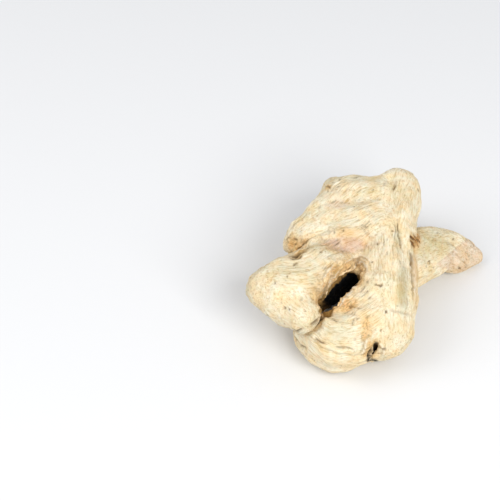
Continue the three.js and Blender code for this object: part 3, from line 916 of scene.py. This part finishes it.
def dried_skin():
    """Cream skin of light and darker fibres, with painted shade in its wrinkles' hollows, and warm and cool
    clouds, tinted by what is kept on it, painted shade and highlights among it, under a relief of fine
    fibres and grit. Its fibres run along a lobe where it is alone, and are matted where lobes meet."""
    material = bpy.data.materials.new("dried ginger skin")
    material.use_nodes = True
    tree = material.node_tree
    shader = tree.nodes["Principled BSDF"]
    kept = {}
    for name in ["streak", "single", *SKIN_TINTS]:
        kept[name] = add_node(tree, "ShaderNodeAttribute", {"attribute_name": name}, {}).outputs["Fac"]
    places = add_node(tree, "ShaderNodeTexCoord", {}, {}).outputs["Object"]
    noises = {}
    for name, pattern in PATTERNS.items():
        inputs = {"Vector": places, **pattern, "Scale": 1 / (pattern["size"] * MM)}
        del inputs["size"]
        noises[name] = add_node(tree, "ShaderNodeTexNoise", {}, inputs)
    patterns = {name: made.outputs[0] for name, made in noises.items()}
    grain_places = add_node(tree, "ShaderNodeAttribute", {"attribute_name": "grain"}, {}).outputs["Vector"]
    wandered = add_node(tree, "ShaderNodeVectorMath", {"operation": "MULTIPLY_ADD"},
                        {0: noises["wander"].outputs["Color"], 1: LONG_FIBRE["wander"], 2: grain_places})
    stretched = add_node(tree, "ShaderNodeVectorMath", {"operation": "MULTIPLY"},
                         {0: wandered.outputs[0], 1: [1 / size for size in LONG_FIBRE["size"]]})
    straight_fibres = add_node(tree, "ShaderNodeTexNoise", {},
                               {"Vector": stretched.outputs[0], "Scale": 1, "Detail": LONG_FIBRE["Detail"],
                                "Roughness": LONG_FIBRE["Roughness"]})
    patterns["fibres"] = add_node(tree, "ShaderNodeMix", {},
                                  {0: kept["single"], 2: patterns["matted"],
                                   3: straight_fibres.outputs[0]}).outputs[0]
    colour = add_node(tree, "ShaderNodeMix", COLOUR_MIX,
                      {0: kept["streak"], 6: linear(SKIN_SHADE), 7: linear(SKIN_LIGHT)}).outputs[2]
    for wash in WASHES:
        low, high = wash["bounds"]
        share = add_node(tree, "ShaderNodeMapRange", {},
                         {0: patterns[wash["pattern"]], 1: low, 2: high, 4: wash["share"]}).outputs[0]
        colour = add_node(tree, "ShaderNodeMix", MULTIPLY,
                          {0: share, 6: colour, 7: linear(wash["tint"])}).outputs[2]
    for name, (blend, tint) in SKIN_TINTS.items():
        colour = add_node(tree, "ShaderNodeMix", blend,
                          {0: kept[name], 6: colour, 7: linear(tint)}).outputs[2]
    tree.links.new(colour, shader.inputs["Base Color"])
    relief = {}
    for bump in BUMPS:
        relief |= {"Height": patterns[bump["pattern"]], "Distance": bump["height"] * MM,
                   "Strength": bump["strength"]}
        relief["Normal"] = add_node(tree, "ShaderNodeBump", {}, relief).outputs[0]
    tree.links.new(relief["Normal"], shader.inputs["Normal"])
    shader.inputs["Roughness"].default_value = SKIN_ROUGHNESS
    shader.inputs["Specular IOR Level"].default_value = DRY_SPECULAR
    return material


root.data.materials.append(dried_skin())


# Loose skin round the hole
# Where the bark tore, thin dry tabs of it stand off the rim and curl. Each is a strip along the rim whose
# ragged edge leans over the hole. Its rim is three picture pixels, and its sizes are millimetres.
TABS = [
    {"rim": [(321, 300), (326, 290), (334, 279)], "length": 1.3, "curl": 0.5},
    {"rim": [(325, 287), (330, 279), (336, 273)], "length": 2, "curl": 0.2},
    {"rim": [(337, 277), (346, 271), (357, 266)], "length": 1.6, "curl": 0.5},
    {"rim": [(329, 271), (334, 267), (341, 264)], "length": 2, "curl": 0.8},
    {"rim": [(321, 288), (325, 279), (330, 271)], "length": 2, "curl": 0.9},
    {"rim": [(315, 311), (317, 305), (319, 298)], "length": 1.1, "curl": 0.9},
    {"rim": [(359, 280), (355, 286), (350, 292)], "length": 1.2, "curl": 0.8},
    {"rim": [(348, 295), (343, 301), (337, 306)], "length": 1.6, "curl": 0.6},
]
TAB_ALONG = 28
TAB_OUT = 7
TAB_THICK = 0.3
TAB_THINS = 0.7
TAB_SINK = 0.5
TAB_LEAN = 0.25
TAB_ROUND = 0.4
TAB_LEVEL = 0.8
TEETH = [{"count": 4, "seed": 301, "share": 0.4}, {"count": 13, "seed": 302, "share": 0.2}]
SMOOTHED = 7
NEIGHBOURS = 12
CLOUD_BOUNDS = (0.35, 0.65)
DRY_ROUGHNESS = 0.9


def skin_under(pixels):
    """The place and the outward way of the skin that the camera sees at picture pixels: of the corners
    seen nearest to each, the one nearest to the camera."""
    near = [np.argsort(np.linalg.norm(seen - pixel, axis=1))[:NEIGHBOURS] for pixel in pixels]
    front = [group[from_camera[group].argmin()] for group in near]
    return skin_corners[front], skin_normals[front]


def smoothed(rows):
    """Each row as the mean of its neighbours along the columns, with the ends repeated."""
    kernel = np.ones(SMOOTHED) / SMOOTHED
    padded = [np.pad(column, SMOOTHED // 2, "edge") for column in rows.T]
    return np.column_stack([np.convolve(column, kernel, "valid") for column in padded])


def tab(rim, length, curl, seed):
    """Corners in rings along the rim: out from it on a tab's upper side and back on its lower one. Its
    length is that of a power of a half sine, times teeth of noise, and its way out turns by the curl
    from over the hole to the skin's outward way."""
    ends = np.array(rim, float)
    share = np.linspace(0, 1, TAB_ALONG)
    pixels = np.column_stack([np.interp(share, (0, 0.5, 1), ends[:, axis]) for axis in (0, 1)])
    base, outward = (smoothed(rows) for rows in skin_under(pixels))
    part = np.clip((base - HOLE[0]) @ hole_line / (hole_line @ hole_line), 0, 1)[:, None]
    over = HOLE[0] + part * hole_line - base
    over -= (over * outward).sum(1, keepdims=True) * outward
    over /= np.linalg.norm(over, axis=1, keepdims=True)
    teeth = TAB_LEVEL
    for tooth in TEETH:
        places = np.column_stack([share * tooth["count"], share * 0, share * 0 + seed])
        teeth = teeth + tooth["share"] * noise(places, tooth["seed"])
    lengths = length * teeth * np.sin(np.pi * share) ** TAB_ROUND
    out = np.linspace(0, 1, TAB_OUT)[None, :, None]
    turn = curl * out + TAB_LEAN
    way = over[:, None] * np.cos(turn) + outward[:, None] * np.sin(turn)
    sheet = base[:, None] - TAB_SINK * outward[:, None] + lengths[:, None, None] * out * way
    thick = TAB_THICK * (1 - TAB_THINS * out) * outward[:, None]
    return np.concatenate([sheet + thick, sheet[:, ::-1] - thick[:, ::-1]], 1)


def ring_faces(rings, points, first):
    """Four-sided faces between neighbour rings of points, numbered from a first corner."""
    ring, point = np.mgrid[: rings - 1, :points]
    here, over = ring * points + point, ring * points + (point + 1) % points
    return (np.stack([here, over, over + points, here + points], 2).reshape(-1, 4) + first).tolist()


def closed_rings(name, bodies):
    """One mesh object of several bodies, each rings of corners with its first and last ring closed."""
    corners, faces = [], []
    for body in bodies:
        first = sum(len(part) for part in corners)
        rings, points = body.shape[:2]
        last = first + (rings - 1) * points
        faces += ring_faces(rings, points, first)
        faces += [list(range(first, first + points))[::-1], list(range(last, last + points))]
        corners.append(body.reshape(-1, 3))
    mesh = bpy.data.meshes.new(name)
    mesh.from_pydata((np.vstack(corners) * MM).tolist(), [], faces)
    mesh.polygons.foreach_set("use_smooth", np.ones(len(mesh.polygons), bool))
    made = bpy.data.objects.new(name, mesh)
    bpy.context.scene.collection.objects.link(made)
    turn_outward(mesh)
    return made


def turn_outward(mesh):
    """Makes every face look out of its closed body."""
    work = bmesh.new()
    work.from_mesh(mesh)
    bmesh.ops.recalc_face_normals(work, faces=work.faces)
    work.to_mesh(mesh)
    work.free()


def plain_dry(name, light, shade, size):
    """A dull dry material that wanders between two colours, in clouds of a size in millimetres."""
    material = bpy.data.materials.new(name)
    material.use_nodes = True
    tree = material.node_tree
    shader = tree.nodes["Principled BSDF"]
    places = add_node(tree, "ShaderNodeTexCoord", {}, {}).outputs["Object"]
    clouds = add_node(tree, "ShaderNodeTexNoise", {},
                      {"Vector": places, "Scale": 1 / (size * MM), "Detail": 4}).outputs[0]
    low, high = CLOUD_BOUNDS
    share = add_node(tree, "ShaderNodeMapRange", {}, {0: clouds, 1: low, 2: high}).outputs[0]
    colour = add_node(tree, "ShaderNodeMix", COLOUR_MIX,
                      {0: share, 6: linear(shade), 7: linear(light)}).outputs[2]
    tree.links.new(colour, shader.inputs["Base Color"])
    shader.inputs["Roughness"].default_value = DRY_ROUGHNESS
    shader.inputs["Specular IOR Level"].default_value = DRY_SPECULAR
    return material


loose_skin = closed_rings("loose_skin", [tab(seed=i, **strip) for i, strip in enumerate(TABS)])
# Torn bark shows its clean inside: warmer than the dusty skin, as dull, and browner in small spots.
loose_skin.data.materials.append(plain_dry("torn bark", "#f6dfb4", "#cfab78", 1.43))
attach(loose_skin, "root")


# Bast fibres in the right finger's fork
# Stiff red-brown strings that the bark left behind, grown fast at both ends and bowed over the joint.
# Their ends are picture pixels, and their bows and radii millimetres.
STRINGS = [
    {"start": (409.5, 234), "end": (420, 247), "bow": 0.6, "radius": 0.19},
    {"start": (412, 232), "end": (422, 244), "bow": 0.5, "radius": 0.13},
    {"start": (409, 238), "end": (416, 249), "bow": 0.5, "radius": 0.19},
    {"start": (414, 231), "end": (421, 238), "bow": 0.4, "radius": 0.12},
    {"start": (409, 235.5), "end": (417, 242), "bow": 0.8, "radius": 0.14},
]
STRING_RINGS = 14
STRING_SIDES = 6
STRING_SINK = 0.3
STRING_WAVE = 0.25
WAVE_TURNS = 1.2
STRING_END = 0.4


def string(start, end, bow, radius):
    """Rings round an arc between two places of the skin: bowed off it by a half sine, waved sideways by
    a sine, and thinner at the ends."""
    (base, tip), (base_way, tip_way) = skin_under(np.array([start, end], float))
    share = np.linspace(0, 1, STRING_RINGS)[:, None]
    lift = base_way + tip_way
    lift /= np.linalg.norm(lift)
    path = base + (tip - base) * share + lift * (bow * np.sin(np.pi * share) - STRING_SINK)
    sideways = np.cross(tip - base, lift) / np.linalg.norm(tip - base)
    path += STRING_WAVE * sideways * np.sin(2 * np.pi * WAVE_TURNS * share)
    ways = np.gradient(path, axis=0)
    ways /= np.linalg.norm(ways, axis=1, keepdims=True)
    side = np.cross(ways, lift)
    side /= np.linalg.norm(side, axis=1, keepdims=True)
    top = np.cross(side, ways)
    angle = np.linspace(0, 2 * np.pi, STRING_SIDES, endpoint=False)[None, :, None]
    girth = (radius * (STRING_END + (1 - STRING_END) * np.sin(np.pi * share)))[:, None]
    return path[:, None] + girth * (np.cos(angle) * side[:, None] + np.sin(angle) * top[:, None])


strings = closed_rings("bast_fibres", [string(**ends) for ends in STRINGS])
# Dry bast is red-brown right through and has no gloss. It is lighter and darker in turns of about 2 mm.
strings.data.materials.append(plain_dry("brown bast", "#c08c50", "#6a3a16", 2))
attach(strings, "root")


# The table and the light
# The root lies on a flat sheet of matt white paper that is wider than the picture. A wide soft lamp
# stands in front and to the right, a weaker one to the left, and a pale room fills the shadows.
TABLE_HALF = 1.5
PAPER_ROUGHNESS = 0.8
ROOM_LIGHT = 0.66
table = bpy.data.objects.new("table", bpy.data.meshes.new("table"))
corners = [(x * TABLE_HALF, y * TABLE_HALF, 0) for x, y in ((-1, -1), (1, -1), (1, 1), (-1, 1))]
table.data.from_pydata(corners, [], [(0, 1, 2, 3)])
bpy.context.scene.collection.objects.link(table)
# Uncoated paper is dull and even. It is a light grey here, so that the lamps bring it to white.
paper = bpy.data.materials.new("white paper")
paper.use_nodes = True
paper.node_tree.nodes["Principled BSDF"].inputs["Base Color"].default_value = linear("#e6e6e6")
paper.node_tree.nodes["Principled BSDF"].inputs["Roughness"].default_value = PAPER_ROUGHNESS
table.data.materials.append(paper)

LAMPS = [
    {"name": "front lamp", "at": (0.4, -0.72, 0.64), "size": 0.6, "watts": 8.1},
    {"name": "side lamp", "at": (-0.65, -0.15, 0.65), "size": 0.6, "watts": 2.8},
]
for lamp in LAMPS:
    light = bpy.data.lights.new(lamp["name"], "AREA")
    light.energy = lamp["watts"]
    light.size = lamp["size"]
    placed = bpy.data.objects.new(lamp["name"], light)
    placed.location = lamp["at"]
    placed.rotation_euler = (-Vector(lamp["at"])).to_track_quat("-Z", "Y").to_euler()
    bpy.context.scene.collection.objects.link(placed)

world = bpy.data.worlds.new("pale room")
world.use_nodes = True
world.node_tree.nodes["Background"].inputs["Color"].default_value = linear("#f4f6fa")
world.node_tree.nodes["Background"].inputs["Strength"].default_value = ROOM_LIGHT
bpy.context.scene.world = world
bpy.context.scene.view_settings.view_transform = "Standard"
